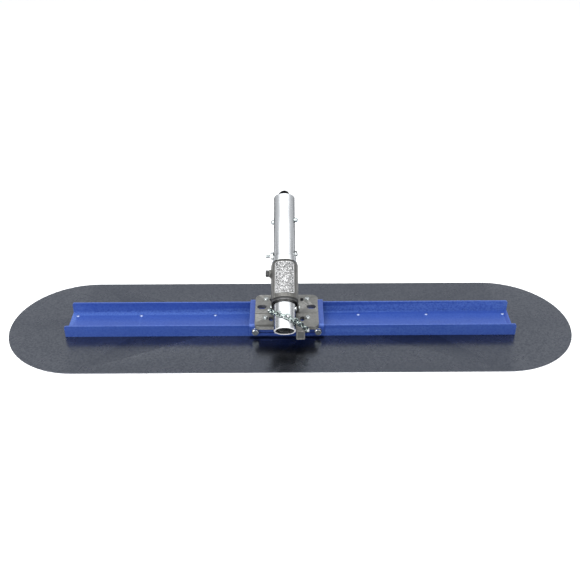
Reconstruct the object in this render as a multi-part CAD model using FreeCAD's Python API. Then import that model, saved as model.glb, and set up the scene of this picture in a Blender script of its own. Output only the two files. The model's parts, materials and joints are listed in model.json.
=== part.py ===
import FreeCAD, Part
import math
import os

from FreeCAD import Placement, Rotation, Vector

# Bull float: a long round-ended blade under a stiffening channel, with a cast bracket that
# tilts the handle socket. Frame: X along the blade, -Y towards the low end of the handle tube,
# +Z up, origin at the centre of the blade's underside. Millimetres.

# Blade and stiffening channel
BLADE_LENGTH = 1117.6
BLADE_WIDTH = 304.8
BLADE_THICKNESS = 1.2
CHANNEL_HALF_LENGTH = 442.0
CHANNEL_FRONT = -37.6
CHANNEL_BACK = 46.4
CHANNEL_TOP = 26.0
CHANNEL_WALL = 3.0
CHANNEL_CORNER = 4.0
RIVET_X = (-430.5, -302.0, -152.0, 138.0, 276.0, 431.0)
RIVET_Y = (-22.0, 30.0)
RIVET_RADIUS = 2.4
RIVET_HEAD_RADIUS = 3.4
RIVET_HEAD_HEIGHT = 1.3

# Saddle clamped over the channel
BRACKET_X = -7.2
SADDLE_HALF_LENGTH = 73.0
SADDLE_WALL = 4.0
SADDLE_BOTTOM = 5.5
SADDLE_BEND = 5.0
SADDLE_BOLT_DX = 61.2
SADDLE_BOLT_Z = 16.0
SADDLE_BOLT_RADIUS = 4.0
SADDLE_BOLT_FLATS = 12.0
SADDLE_BOLT_HEAD = 5.3
SADDLE_BOLT_TAIL = 9.0
SADDLE_NUT = 6.5
SADDLE_WASHER_RADIUS = 6.9
SADDLE_WASHER = 1.6

# Cast base plate bolted on the saddle
BASE_HALF_LENGTH = 62.4
BASE_FRONT = -57.0
BASE_BACK = 54.0
BASE_THICKNESS = 7.5
BASE_CORNER = 12.0
BASE_EDGE_ROUND = 1.2
BASE_BOLT_DX = 41.2
BASE_BOLT_Y = (-28.0, 37.5)
BASE_BOLT_RADIUS = 2.6
BASE_BOLT_HEAD_RADIUS = 4.5
BASE_BOLT_HEAD = 2.2
BASE_WASHER_RADIUS = 5.2
BASE_WASHER = 0.8
BASE_BOLT_TAIL = 2.0
HEAD_ROUND_SHARE = 0.6
SPARE_SLOT_DX = 30.5
SPARE_SLOTS = ((-31.0, 9.0, 15.0), (36.0, 7.0, 11.0))
SLOT_DX = 49.0
SLOT_Y = 10.3
SLOT_LENGTH = 18.4
SLOT_WIDTH = 13.5
GROOVE_Y = -12.5
GROOVE_WIDTH = 2.6
GROOVE_DEPTH = 1.3
LIP_Y = -51.0
LIP_DROP = 1.4

# Tilt hinge between the base plate and the socket casting
HINGE_Y = -5.0
HINGE_Z = 45.0
HINGE_PIN_RADIUS = 4.0
HINGE_EYE_RADIUS = 9.0
EAR_FOOT_SPREAD = 5.0
EAR_INNER = 13.7
EAR_OUTER = 19.7
CHEEK_INNER = 20.0
CHEEK_OUTER = 26.0
HINGE_RUNNING_GAP = 0.06
SIDE_GAP = 0.3
CHEEK_CLEARANCE = 0.6
PIN_HEAD_RADIUS = 6.2
PIN_HEAD = 2.6
PIN_TAIL = 3.4
PIN_GROOVE_RADIUS = 3.2
PIN_CLIP = 1.1
PIN_CLIP_RADIUS = 7.2
PIN_CLIP_GAP = 5.2

# Return spring round the hinge pin
SPRING_WIRE_RADIUS = 0.9
SPRING_RADIUS = 5.6
SPRING_PITCH = 2.2
SPRING_TURNS = 7

# Handle tube: its axis climbs towards the back at TUBE_SLOPE and starts at TUBE_START
TUBE_SLOPE = 34.5
TUBE_X = -10.8
TUBE_START = Vector(TUBE_X, -95.0, 53.6)
TUBE_LENGTH = 283.2
TUBE_RADIUS = 21.0
TUBE_WALL = 3.2
SPIGOT_RADIUS = 20.7
SPIGOT_START = 238.0
SPIGOT_LEAD = 1.0
TUBE_END_ROUND = 1.5
TUBE_REST_TURN = 12.5

# Socket casting around the tube (distances along the tube from its low end)
SOCKET_START = 61.0
SOCKET_END = 138.5
SOCKET_RADIUS = 26.2
SOCKET_BORE = 23.6
SOCKET_TOP_WALL = 6.0
SOCKET_TOP_BORE = 21.6
SOCKET_TOP_ROUND = 5.5
CHEEK_TOP_START = 63.0
CHEEK_TOP_END = 103.0
CHEEK_SHOULDER = 6.0
CHEEK_FRONT_DROP = 12.0
CHEEK_BACK_DROP = 14.0
WEB_START = 88.0
WEB_END = 93.0
WEB_DEPTH = 44.0
WEB_TOP = 10.0
BUSHING_LENGTH = 18.0
BUSHING_FLANGE = 3.0
BUSHING_FLANGE_RADIUS = 24.8
TUBE_RUNNING_GAP = 0.06
LABEL_HALF_ANGLE = 42.0
LABEL_START = 68.5
LABEL_END = 132.5
LABEL_THICKNESS = 1.1
LABEL_CORNER = 3.0

# Lock screw on the casting's left side
LOCK_S = 118.0
LOCK_BOSS_RADIUS = 7.5
LOCK_BOSS_REACH = 30.0
LOCK_RADIUS = 3.0
LOCK_HEAD_RADIUS = 6.6
LOCK_HEAD_HEIGHT = 6.4
LOCK_HEAD_ROUND = 1.0
LOCK_RUNNING_GAP = 0.05
LOCK_TIP_GAP = 0.4
GUSSET_START = 97.0
GUSSET_WIDTH = 5.0
BOSS_ROOT = 20.0

# Pieces on the tube
RING_START = 52.6
RING_THICKNESS = 2.9
RING_RADIUS = 23.6
RING_GROOVE_DEPTH = 0.7
MOUTH_WASHER_START = 55.6
MOUTH_WASHER_THICKNESS = 2.3
MOUTH_WASHER_RADIUS = 24.8
AXIAL_GAP = 0.1
WASHER_THICKNESS = 1.4
WASHER_RADIUS = 24.4
COLLAR_RADIUS = 22.8
COLLAR_LENGTH = 11.0
COLLAR_ROUND = 0.8
CROSS_BOLT_S = 158.0
CROSS_BOLT_RADIUS = 3.2
CROSS_BOLT_REACH = 37.0
CROSS_BOLT_FLATS = 9.5
CROSS_BOLT_HEAD = 4.2
CROSS_NUT_FLATS = 12.5
CROSS_NUT = 6.8
CHAIN_BOLT_S = 43.5
CHAIN_BOLT_RADIUS = 2.3
CHAIN_BOLT_HEAD_RADIUS = 4.2
CHAIN_BOLT_HEAD = 2.6
CHAIN_NUT = 3.4
CHAIN_NUT_FLATS = 7.0
CHAIN_BOLT_TAIL = 0.6

# Snap buttons and their hairpin spring
BUTTON_S = 231.0
BUTTON_RADIUS = 4.8
BUTTON_PROUD = 6.5
BUTTON_FLANGE_RADIUS = 6.2
BUTTON_SEAT = 16.6
BUTTON_FLANGE = 1.0
BUTTON_RUNNING_GAP = 0.06
CLIP_THICKNESS = 1.0
CLIP_WIDTH = 10.0
CLIP_SHOULDER = 8.0
CLIP_BEND_RADIUS = 11.7
CLIP_TOP = 297.4
CLIP_TAIL = 220.0

# Tilt chain: half a turn over the tube, and a short run down to the lug on the base plate
LINK_WIRE = 2.8
LINK_WIDTH = 11.0
LINK_INNER_LENGTH = 9.7
WRAP_RADIUS = 25.6
WRAP_RISE = 1.4
WRAP_FROM_ANGLE = 64.0
WRAP_START = 15.0
WRAP_CLIMB_POWER = 1.5
WRAP_LINKS = 9
WRAP_SAMPLES = 2000
RUN_LINKS = 5
LINK_SLACK = 0.15
SEAT_GAP = 0.2
LUG_X = 19.4
LUG_HALF_WIDTH = 8.7
LUG_FRONT = -75.5
LUG_BACK = -62.5
LUG_BOTTOM = 19.6
LUG_TOP = 40.8
LUG_ROUND = 2.5
LUG_RIM = 2.6
LUG_RECESS = 1.2
ANCHOR = Vector(30.0, -70.7, 37.8)
ANCHOR_RADIUS = 2.3
ANCHOR_DEPTH = 12.0
ANCHOR_HEAD = 3.4
ANCHOR_FLATS = 7.4
ANCHOR_WASHER_RADIUS = 4.3
ANCHOR_WASHER = 1.0

X_AXIS = Vector(1, 0, 0)
Y_AXIS = Vector(0, 1, 0)
Z_AXIS = Vector(0, 0, 1)
TUBE_FRAME = Placement(TUBE_START, Rotation(X_AXIS, TUBE_SLOPE - 90.0))
REST_TURN = Placement(Vector(), Rotation(Z_AXIS, -TUBE_REST_TURN))
BASE_BOTTOM = CHANNEL_TOP + SADDLE_WALL
BASE_TOP = BASE_BOTTOM + BASE_THICKNESS
CHAIN_SEAT = WRAP_RADIUS + WRAP_RISE + LINK_WIRE / 2 + SEAT_GAP
ANCHOR_SEAT = ANCHOR.x + LINK_WIRE / 2 + SEAT_GAP
HINGE_LOCAL = TUBE_FRAME.inverse().multVec(Vector(TUBE_X, HINGE_Y, HINGE_Z))


def save(name, shapes):
    """Write one node: a single solid, or a group of separate identical solids."""
    shape = shapes[0] if len(shapes) == 1 else Part.makeCompound(shapes)
    shape.exportStep("parts/%s.step" % name)


def block(low, high):
    """A box between two corners."""
    return Part.makeBox(high[0] - low[0], high[1] - low[1], high[2] - low[2], Vector(*low))


def rod(radius, start, end):
    """A cylinder from one point to another."""
    along = end - start
    return Part.makeCylinder(radius, along.Length, start, along)


def ring(outer, inner, start, end):
    """A hollow cylinder from one point to another."""
    return rod(outer, start, end).cut(rod(inner, start, end))


def prism(points, along):
    """A straight prism over a closed polygon."""
    wire = Part.makePolygon(list(points) + [points[0]])
    return Part.Face(wire).extrude(along)


def hexagon(flats, start, along):
    """A hexagonal prism; two of its flats face up and down or, on an upright one, front and back."""
    side = Z_AXIS if abs(along.z) < 0.5 * along.Length else Y_AXIS
    across = along.cross(side)
    across.normalize()
    corner = flats / math.sqrt(3.0)
    turned = [Rotation(along, 60.0 * i).multVec(across) for i in range(6)]
    return prism([start + direction * corner for direction in turned], along)


def hex_bolt(radius, flats, head, seat, along, length):
    """A hexagon bolt whose head sits on the point seat and whose shank runs along."""
    shank = rod(radius, seat, seat + along * length)
    return hexagon(flats, seat - along * head, along * head).fuse(shank).removeSplitter()


def vertical_edges(shape):
    """The straight upright edges of a shape."""
    found = []
    for edge in shape.Edges:
        ends = [vertex.Point for vertex in edge.Vertexes]
        if len(ends) == 2 and (ends[0] - ends[1]).cross(Z_AXIS).Length < 1e-6:
            found.append(edge)
    return found


def on_tube(shape, turned=False):
    """Move a shape from the tube's own frame, turned with the tube if asked, into the part's frame."""
    placed = shape.copy()
    frame = TUBE_FRAME.multiply(REST_TURN) if turned else TUBE_FRAME
    placed.Placement = frame.multiply(placed.Placement)
    return placed


def along_tube(radius, start, end):
    """A cylinder on the tube's axis, in the tube's own frame."""
    return rod(radius, Vector(0, 0, start), Vector(0, 0, end))


def blade():
    """Flat plate with full semicircular ends."""
    radius = BLADE_WIDTH / 2
    reach = BLADE_LENGTH / 2 - radius
    plate = block((-reach, -radius, 0), (reach, radius, BLADE_THICKNESS))
    for side in (-1, 1):
        centre = Vector(side * reach, 0, 0)
        plate = plate.fuse(rod(radius, centre, centre + Z_AXIS * BLADE_THICKNESS))
    plate = plate.removeSplitter()
    for x in RIVET_X:
        for y in RIVET_Y:
            plate = plate.cut(rod(RIVET_RADIUS, Vector(x, y, 0), Vector(x, y, BLADE_THICKNESS)))
    return plate


def channel():
    """Open-topped channel riveted along the blade, with rounded flange corners at its ends."""
    low = (-CHANNEL_HALF_LENGTH, CHANNEL_FRONT, BLADE_THICKNESS)
    body = block(low, (CHANNEL_HALF_LENGTH, CHANNEL_BACK, CHANNEL_TOP))
    trough_low = (-CHANNEL_HALF_LENGTH, CHANNEL_FRONT + CHANNEL_WALL, BLADE_THICKNESS + CHANNEL_WALL)
    body = body.cut(block(trough_low, (CHANNEL_HALF_LENGTH, CHANNEL_BACK - CHANNEL_WALL, CHANNEL_TOP)))
    corners = []
    for edge in body.Edges:
        centre = edge.CenterOfMass
        short = abs(edge.Length - CHANNEL_WALL) < 1e-6
        if short and abs(centre.z - CHANNEL_TOP) < 1e-6:
            corners.append(edge)
    body = body.makeFillet(CHANNEL_CORNER, corners)
    web_top = BLADE_THICKNESS + CHANNEL_WALL
    for x in RIVET_X:
        for y in RIVET_Y:
            body = body.cut(rod(RIVET_RADIUS, Vector(x, y, BLADE_THICKNESS), Vector(x, y, web_top)))
    for seat, inward in saddle_bolt_seats():
        body = body.cut(rod(SADDLE_BOLT_RADIUS, seat, seat + inward * (SADDLE_WALL + CHANNEL_WALL)))
    return body


def channel_rivets():
    """Domed rivets through the channel's web and the blade, flush underneath."""
    rivets = []
    web_top = BLADE_THICKNESS + CHANNEL_WALL
    sphere_radius = (RIVET_HEAD_RADIUS ** 2 + RIVET_HEAD_HEIGHT ** 2) / (2 * RIVET_HEAD_HEIGHT)
    for x in RIVET_X:
        for y in RIVET_Y:
            shank = rod(RIVET_RADIUS, Vector(x, y, 0), Vector(x, y, web_top))
            centre = Vector(x, y, web_top + RIVET_HEAD_HEIGHT - sphere_radius)
            cap = Part.makeSphere(sphere_radius, centre)
            column = rod(RIVET_HEAD_RADIUS, Vector(x, y, web_top), Vector(x, y, web_top + RIVET_HEAD_HEIGHT))
            rivets.append(cap.common(column).fuse(shank))
    return rivets


def saddle_bolt_seats():
    """Where the saddle's bolts sit on its legs, with the inward direction of each."""
    front = CHANNEL_FRONT - SADDLE_WALL
    back = CHANNEL_BACK + SADDLE_WALL
    seats = []
    for side in (-1, 1):
        x = BRACKET_X + side * SADDLE_BOLT_DX
        seats.append((Vector(x, front, SADDLE_BOLT_Z), Vector(0, 1, 0)))
        seats.append((Vector(x, back, SADDLE_BOLT_Z), Vector(0, -1, 0)))
    return seats


def adapter_saddle():
    """Folded plate that straddles the channel."""
    front = CHANNEL_FRONT - SADDLE_WALL
    back = CHANNEL_BACK + SADDLE_WALL
    left = BRACKET_X - SADDLE_HALF_LENGTH
    right = BRACKET_X + SADDLE_HALF_LENGTH
    body = block((left, front, SADDLE_BOTTOM), (right, back, BASE_BOTTOM))
    folds = [
        edge
        for edge in body.Edges
        if edge.Length > SADDLE_HALF_LENGTH * 1.9 and edge.CenterOfMass.z > CHANNEL_TOP
    ]
    body = body.makeFillet(SADDLE_BEND, folds)
    body = body.cut(block((left, CHANNEL_FRONT, SADDLE_BOTTOM), (right, CHANNEL_BACK, CHANNEL_TOP)))
    for seat, inward in saddle_bolt_seats():
        body = body.cut(rod(SADDLE_BOLT_RADIUS, seat, seat + inward * SADDLE_WALL))
    for seat in base_bolt_points():
        body = body.cut(rod(BASE_BOLT_RADIUS, seat - Z_AXIS * (BASE_TOP - CHANNEL_TOP), seat))
    return body


def saddle_bolts():
    """Four horizontal bolts that clamp the saddle to the channel's flanges."""
    length = SADDLE_WASHER + SADDLE_WALL + CHANNEL_WALL + SADDLE_BOLT_TAIL
    bolts = []
    for seat, inward in saddle_bolt_seats():
        under_head = seat - inward * SADDLE_WASHER
        bolt = hex_bolt(SADDLE_BOLT_RADIUS, SADDLE_BOLT_FLATS, SADDLE_BOLT_HEAD, under_head, inward, length)
        bolts.append(bolt)
    return bolts


def saddle_washers():
    """Flat washers under the saddle bolts' heads."""
    return [
        ring(SADDLE_WASHER_RADIUS, SADDLE_BOLT_RADIUS, seat - inward * SADDLE_WASHER, seat)
        for seat, inward in saddle_bolt_seats()
    ]


def saddle_nuts():
    """Nuts on the saddle bolts, inside the channel."""
    nuts = []
    for seat, inward in saddle_bolt_seats():
        start = seat + inward * (SADDLE_WALL + CHANNEL_WALL)
        nut = hexagon(SADDLE_BOLT_FLATS, start, inward * SADDLE_NUT)
        nuts.append(nut.cut(rod(SADDLE_BOLT_RADIUS, start, start + inward * SADDLE_NUT)))
    return nuts


def base_bolt_points():
    """Centres of the base plate's bolts, on its top face."""
    return [
        Vector(BRACKET_X + side * BASE_BOLT_DX, y, BASE_TOP) for side in (-1, 1) for y in BASE_BOLT_Y
    ]


def slot_cutter(x, y, along_x, along_y):
    """The space of one oblong hole through the base plate, centred on x, y."""
    width = min(along_x, along_y)
    direction = X_AXIS if along_x > along_y else Y_AXIS
    offset = direction * ((max(along_x, along_y) - width) / 2)
    low = Vector(x, y, BASE_BOTTOM)
    rise = Z_AXIS * BASE_THICKNESS
    across = direction.cross(Z_AXIS) * (width / 2)
    sides = [low - offset - across, low + offset - across, low + offset + across, low - offset + across]
    cutter = prism(sides, rise)
    for centre in (low - offset, low + offset):
        cutter = cutter.fuse(rod(width / 2, centre, centre + rise))
    return cutter.removeSplitter()


def hinge_ear(inner, outer):
    """One upright ear of the base plate, between two distances along X."""
    start = Vector(inner, HINGE_Y, HINGE_Z)
    eye = rod(HINGE_EYE_RADIUS, start, Vector(outer, HINGE_Y, HINGE_Z))
    foot = HINGE_EYE_RADIUS + EAR_FOOT_SPREAD
    points = [
        Vector(inner, HINGE_Y - foot, BASE_TOP - 1.0),
        Vector(inner, HINGE_Y + foot, BASE_TOP - 1.0),
        Vector(inner, HINGE_Y + HINGE_EYE_RADIUS, HINGE_Z),
        Vector(inner, HINGE_Y - HINGE_EYE_RADIUS, HINGE_Z),
    ]
    return eye.fuse(prism(points, X_AXIS * (outer - inner)))


def chain_lug():
    """Lug in front of the base plate with a recessed face, drilled from the right for the chain's anchor."""
    left = LUG_X - LUG_HALF_WIDTH
    right = LUG_X + LUG_HALF_WIDTH
    body = block((left, LUG_FRONT, LUG_BOTTOM), (right, LUG_BACK, LUG_TOP))
    body = body.makeFillet(LUG_ROUND, vertical_edges(body))
    neck_low = (left + LUG_ROUND, LUG_BACK - LUG_ROUND, BASE_BOTTOM)
    body = body.fuse(block(neck_low, (right - LUG_ROUND, BASE_FRONT + LUG_ROUND, BASE_TOP)))
    recess_low = (left + LUG_RIM, LUG_FRONT, LUG_BOTTOM + LUG_RIM)
    recess_high = (right - LUG_RIM, LUG_FRONT + LUG_RECESS, LUG_TOP - LUG_RIM)
    body = body.cut(block(recess_low, recess_high))
    bottom = Vector(right - ANCHOR_DEPTH, ANCHOR.y, ANCHOR.z)
    return body.cut(rod(ANCHOR_RADIUS, bottom, Vector(right, ANCHOR.y, ANCHOR.z)))


def base_plate():
    """Cast plate with two hinge ears, a chain lug, slots, spare holes, a cross groove and a front lip."""
    left = BRACKET_X - BASE_HALF_LENGTH
    right = BRACKET_X + BASE_HALF_LENGTH
    body = block((left, BASE_FRONT, BASE_BOTTOM), (right, BASE_BACK, BASE_TOP))
    body = body.makeFillet(BASE_CORNER, vertical_edges(body))
    rim = [
        edge
        for edge in body.Edges
        if min(vertex.Point.z for vertex in edge.Vertexes) > BASE_TOP - 1e-6
    ]
    body = body.makeFillet(BASE_EDGE_ROUND, rim)
    groove_low = (left, GROOVE_Y - GROOVE_WIDTH / 2, BASE_TOP - GROOVE_DEPTH)
    groove_high = (right, GROOVE_Y + GROOVE_WIDTH / 2, BASE_TOP)
    body = body.cut(block(groove_low, groove_high))
    body = body.cut(block((left, BASE_FRONT, BASE_TOP - LIP_DROP), (TUBE_X, LIP_Y, BASE_TOP)))
    body = body.fuse(chain_lug())
    for side in (-1, 1):
        inner, outer = sorted((TUBE_X + side * EAR_INNER, TUBE_X + side * EAR_OUTER))
        body = body.fuse(hinge_ear(inner, outer))
    for side in (-1, 1):
        near = Vector(TUBE_X + side * EAR_OUTER, HINGE_Y, HINGE_Z)
        far = Vector(TUBE_X + side * (CHEEK_OUTER + CHEEK_CLEARANCE), HINGE_Y, HINGE_Z)
        body = body.cut(rod(HINGE_EYE_RADIUS + CHEEK_CLEARANCE, near, far))
        body = body.cut(slot_cutter(BRACKET_X + side * SLOT_DX, SLOT_Y, SLOT_LENGTH, SLOT_WIDTH))
        for y, along_x, along_y in SPARE_SLOTS:
            body = body.cut(slot_cutter(BRACKET_X + side * SPARE_SLOT_DX, y, along_x, along_y))
    for point in base_bolt_points():
        body = body.cut(rod(BASE_BOLT_RADIUS, point - Z_AXIS * BASE_THICKNESS, point))
    reach = EAR_OUTER + 1.0
    pin_start = Vector(TUBE_X - reach, HINGE_Y, HINGE_Z)
    return body.cut(rod(HINGE_PIN_RADIUS, pin_start, pin_start + X_AXIS * 2 * reach)).removeSplitter()


def button_head(radius, height, seat, out):
    """A low round bolt head with a rounded rim, standing on the point seat."""
    head = rod(radius, seat, seat + out * height)
    top = [edge for edge in head.Edges if (edge.CenterOfMass - seat).dot(out) > height - 1e-6]
    return head.makeFillet(height * HEAD_ROUND_SHARE, top)


def base_bolts():
    """Four bolts that hold the base plate, threaded into the saddle."""
    reach = BASE_WASHER + BASE_THICKNESS + SADDLE_WALL + BASE_BOLT_TAIL
    bolts = []
    for point in base_bolt_points():
        seat = point + Z_AXIS * BASE_WASHER
        head = button_head(BASE_BOLT_HEAD_RADIUS, BASE_BOLT_HEAD, seat, Z_AXIS)
        bolts.append(head.fuse(rod(BASE_BOLT_RADIUS, seat - Z_AXIS * reach, seat)))
    return bolts


def base_washers():
    """Thin washers under the base bolts' heads."""
    return [
        ring(BASE_WASHER_RADIUS, BASE_BOLT_RADIUS, point, point + Z_AXIS * BASE_WASHER)
        for point in base_bolt_points()
    ]


def anchor_bolt():
    """Bolt in the lug's right side; the chain's last link hangs on it, between the lug and a washer."""
    seat = Vector(ANCHOR_SEAT + ANCHOR_WASHER, ANCHOR.y, ANCHOR.z)
    length = seat.x - (LUG_X + LUG_HALF_WIDTH) + ANCHOR_DEPTH
    return hex_bolt(ANCHOR_RADIUS, ANCHOR_FLATS, ANCHOR_HEAD, seat, X_AXIS * -1.0, length)


def anchor_washer():
    """Washer under the anchor bolt's head."""
    start = Vector(ANCHOR_SEAT, ANCHOR.y, ANCHOR.z)
    return ring(ANCHOR_WASHER_RADIUS, ANCHOR_RADIUS, start, start + X_AXIS * ANCHOR_WASHER)


def hinge_pin():
    """Headed pin through the ears and the casting's cheeks, grooved for its clip."""
    reach = CHEEK_OUTER + SIDE_GAP
    centre = Vector(TUBE_X, HINGE_Y, HINGE_Z)
    seat = centre - X_AXIS * reach
    head = button_head(PIN_HEAD_RADIUS, PIN_HEAD, seat, X_AXIS * -1.0)
    pin = head.fuse(rod(HINGE_PIN_RADIUS, seat, centre + X_AXIS * (reach + PIN_TAIL)))
    groove_start = centre + X_AXIS * reach
    groove = ring(HINGE_PIN_RADIUS + 1.0, PIN_GROOVE_RADIUS, groove_start, groove_start + X_AXIS * PIN_CLIP)
    return pin.cut(groove).removeSplitter()


def hinge_pin_clip():
    """Open retaining clip in the pin's groove."""
    start = Vector(TUBE_X + CHEEK_OUTER + SIDE_GAP, HINGE_Y, HINGE_Z)
    end = start + X_AXIS * PIN_CLIP
    gap_low = (start.x, HINGE_Y - PIN_CLIP_GAP / 2, HINGE_Z - PIN_CLIP_RADIUS)
    gap = block(gap_low, (end.x, HINGE_Y + PIN_CLIP_GAP / 2, HINGE_Z))
    return ring(PIN_CLIP_RADIUS, PIN_GROOVE_RADIUS, start, end).cut(gap)


def cheek(side):
    """One side plate of the casting, from the socket down to its hinge eye, in the tube's frame."""
    x = CHEEK_INNER if side > 0 else -CHEEK_OUTER
    eye_y = HINGE_LOCAL.y
    eye_z = HINGE_LOCAL.z
    points = [
        Vector(x, 0.0, CHEEK_TOP_START),
        Vector(x, CHEEK_FRONT_DROP, CHEEK_TOP_START),
        Vector(x, eye_y, eye_z - HINGE_EYE_RADIUS),
        Vector(x, eye_y, eye_z + HINGE_EYE_RADIUS),
        Vector(x, CHEEK_BACK_DROP, CHEEK_TOP_END),
        Vector(x, 0.0, CHEEK_TOP_END + CHEEK_SHOULDER),
    ]
    width = CHEEK_OUTER - CHEEK_INNER
    plate = prism(points, X_AXIS * width)
    eye_start = Vector(x, eye_y, eye_z)
    return plate.fuse(rod(HINGE_EYE_RADIUS, eye_start, eye_start + X_AXIS * width))


def socket_casting():
    """Cast socket that the tube turns in, with cheeks, a cross web and a boss for the lock screw."""
    body = along_tube(SOCKET_RADIUS, SOCKET_START, SOCKET_END)
    top = [edge for edge in body.Edges if edge.CenterOfMass.z > SOCKET_END - 1e-6]
    body = body.makeFillet(SOCKET_TOP_ROUND, top)
    for side in (-1, 1):
        body = body.fuse(cheek(side))
    web_reach = CHEEK_INNER + 1.0
    body = body.fuse(block((-web_reach, WEB_TOP, WEB_START), (web_reach, WEB_DEPTH, WEB_END)))
    root = Vector(-BOSS_ROOT, 0, LOCK_S)
    body = body.fuse(rod(LOCK_BOSS_RADIUS, Vector(-LOCK_BOSS_REACH, 0, LOCK_S), root))
    gusset_side = Y_AXIS * (-GUSSET_WIDTH / 2)
    gusset = [
        Vector(-BOSS_ROOT, 0, GUSSET_START) + gusset_side,
        Vector(-LOCK_BOSS_REACH, 0, LOCK_S - GUSSET_WIDTH) + gusset_side,
        root + gusset_side,
    ]
    body = body.fuse(prism(gusset, Y_AXIS * GUSSET_WIDTH))
    body = body.cut(along_tube(SOCKET_BORE, SOCKET_START, SOCKET_END - SOCKET_TOP_WALL))
    body = body.cut(along_tube(SOCKET_TOP_BORE, SOCKET_START, SOCKET_END))
    lock_hole_end = Vector(-SOCKET_TOP_BORE + 1.0, 0, LOCK_S)
    body = body.cut(rod(LOCK_RADIUS + LOCK_RUNNING_GAP, Vector(-LOCK_BOSS_REACH, 0, LOCK_S), lock_hole_end))
    eye = Vector(-CHEEK_OUTER, HINGE_LOCAL.y, HINGE_LOCAL.z)
    pin_hole = rod(HINGE_PIN_RADIUS + HINGE_RUNNING_GAP, eye, eye + X_AXIS * 2 * CHEEK_OUTER)
    return on_tube(body.cut(pin_hole).removeSplitter())


def label_plate():
    """Thin curved plate, without markings, on the socket's upper side."""
    shell = along_tube(SOCKET_RADIUS + LABEL_THICKNESS, LABEL_START, LABEL_END)
    shell = shell.cut(along_tube(SOCKET_RADIUS, LABEL_START, LABEL_END))
    reach = 2 * SOCKET_RADIUS
    corner = reach * math.tan(math.radians(LABEL_HALF_ANGLE))
    start = Vector(0, 0, LABEL_START)
    sides = [start, start + Vector(corner, -reach, 0), start + Vector(-corner, -reach, 0)]
    sector = prism(sides, Z_AXIS * (LABEL_END - LABEL_START))
    plate = shell.common(sector)
    corners = []
    for edge in plate.Edges:
        heights = [vertex.Point.z for vertex in edge.Vertexes]
        if edge.Length < LABEL_THICKNESS * 1.1 and max(heights) - min(heights) < 1e-6:
            corners.append(edge)
    return on_tube(plate.makeFillet(LABEL_CORNER, corners))


def bushing(start):
    """Plain bearing bush pressed into the socket."""
    outer = along_tube(SOCKET_BORE, start, start + BUSHING_LENGTH)
    return outer.cut(along_tube(TUBE_RADIUS + TUBE_RUNNING_GAP, start, start + BUSHING_LENGTH))


def lower_bushing():
    """Flanged bush pressed into the socket's mouth; its flange covers the mouth's rim."""
    start = SOCKET_START - BUSHING_FLANGE
    flange = along_tube(BUSHING_FLANGE_RADIUS, start, SOCKET_START)
    flange = flange.cut(along_tube(TUBE_RADIUS + TUBE_RUNNING_GAP, start, SOCKET_START))
    return on_tube(flange.fuse(bushing(SOCKET_START)).removeSplitter())


def upper_bushing():
    """Bush under the socket's top wall, notched where the lock screw passes."""
    start = SOCKET_END - SOCKET_TOP_WALL - BUSHING_LENGTH
    notch_start = Vector(-SOCKET_BORE - 1.0, 0, LOCK_S)
    notch = rod(LOCK_RADIUS + LOCK_TIP_GAP, notch_start, Vector(-TUBE_RADIUS + 1.0, 0, LOCK_S))
    return on_tube(bushing(start).cut(notch))


def return_spring():
    """Torsion spring round the hinge pin."""
    length = SPRING_PITCH * SPRING_TURNS
    helix = Part.makeHelix(SPRING_PITCH, length, SPRING_RADIUS)
    profile = Part.Wire(Part.makeCircle(SPRING_WIRE_RADIUS, Vector(SPRING_RADIUS, 0, 0), Y_AXIS))
    coil = Part.Wire(helix).makePipeShell([profile], True, True)
    coil.Placement = Placement(Vector(TUBE_X - length / 2, HINGE_Y, HINGE_Z), Rotation(Y_AXIS, 90.0))
    return coil


def lock_screw():
    """Thumb screw whose tip stops just short of the tube."""
    seat = -LOCK_BOSS_REACH - SIDE_GAP
    head = rod(LOCK_HEAD_RADIUS, Vector(seat - LOCK_HEAD_HEIGHT, 0, LOCK_S), Vector(seat, 0, LOCK_S))
    outer_rim = [edge for edge in head.Edges if edge.CenterOfMass.x < seat - LOCK_HEAD_HEIGHT + 1e-6]
    head = head.makeFillet(LOCK_HEAD_ROUND, outer_rim)
    shank = rod(LOCK_RADIUS, Vector(seat, 0, LOCK_S), Vector(-TUBE_RADIUS - LOCK_TIP_GAP, 0, LOCK_S))
    return on_tube(head.fuse(shank))


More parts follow.
